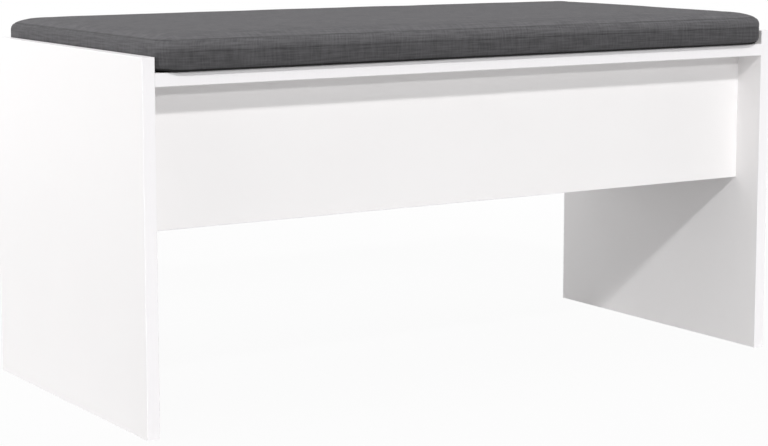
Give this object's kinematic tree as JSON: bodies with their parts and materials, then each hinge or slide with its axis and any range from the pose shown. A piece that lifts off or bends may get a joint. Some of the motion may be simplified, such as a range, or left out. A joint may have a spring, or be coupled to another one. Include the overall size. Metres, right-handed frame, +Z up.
{
  "type": "entry bench",
  "caption": "White panel-sided entry bench: side panels carry a recessed seat board over front and rear rails, with a loose charcoal linen-look cushion lying between them.",
  "frame": {"origin": "centre of the bench's footprint, on the floor", "axes": "+X along the bench to the right as seen from the front, +Y to the back, +Z up"},
  "size_m": [0.96, 0.451, 0.472],
  "materials": {
    "melamine": "white melamine-faced chipboard, satin",
    "edge_strip": "white, satin",
    "zinc": "zinc plated, satin",
    "cap": "white, satin",
    "beech": "raw beech, matte",
    "seat_cloth": "heathered charcoal linen-look weave, matte",
    "base_cloth": "black non-woven, matte",
    "foam": "pale polyurethane foam, matte"
  },
  "bodies": {
    "bench_frame": {"front_rail": "melamine", "front_rail_cam_bolts": "zinc", "front_rail_cam_caps": "cap", "front_rail_cam_locks": "zinc", "front_rail_dowels": "beech", "front_rail_strip": "edge_strip", "front_rail_top_dowels": "beech", "left_panel_bottom_strip": "edge_strip", "left_panel_front_strip": "edge_strip", "left_panel_rear_strip": "edge_strip", "left_panel_top_strip": "edge_strip", "left_side_panel": "melamine", "rear_rail": "melamine", "rear_rail_cam_bolts": "zinc", "rear_rail_cam_caps": "cap", "rear_rail_cam_locks": "zinc", "rear_rail_dowels": "beech", "rear_rail_strip": "edge_strip", "rear_rail_top_dowels": "beech", "right_panel_bottom_strip": "edge_strip", "right_panel_front_strip": "edge_strip", "right_panel_rear_strip": "edge_strip", "right_panel_top_strip": "edge_strip", "right_side_panel": "melamine", "seat_board": "melamine", "seat_cam_bolts": "zinc", "seat_cam_caps": "cap", "seat_cam_locks": "zinc", "seat_dowels": "beech", "seat_front_strip": "edge_strip", "seat_rear_strip": "edge_strip"},
    "cushion": {"cushion_base_cloth": "base_cloth", "cushion_foam_core": "foam", "cushion_side_band": "seat_cloth", "cushion_top_cloth": "seat_cloth"}
  },
  "joints": [
    {"name": "cushion_lift", "type": "slide", "parent": "bench_frame", "child": "cushion", "axis": [0, 0, 1], "range_m": [0, 0.1]}
  ]
}
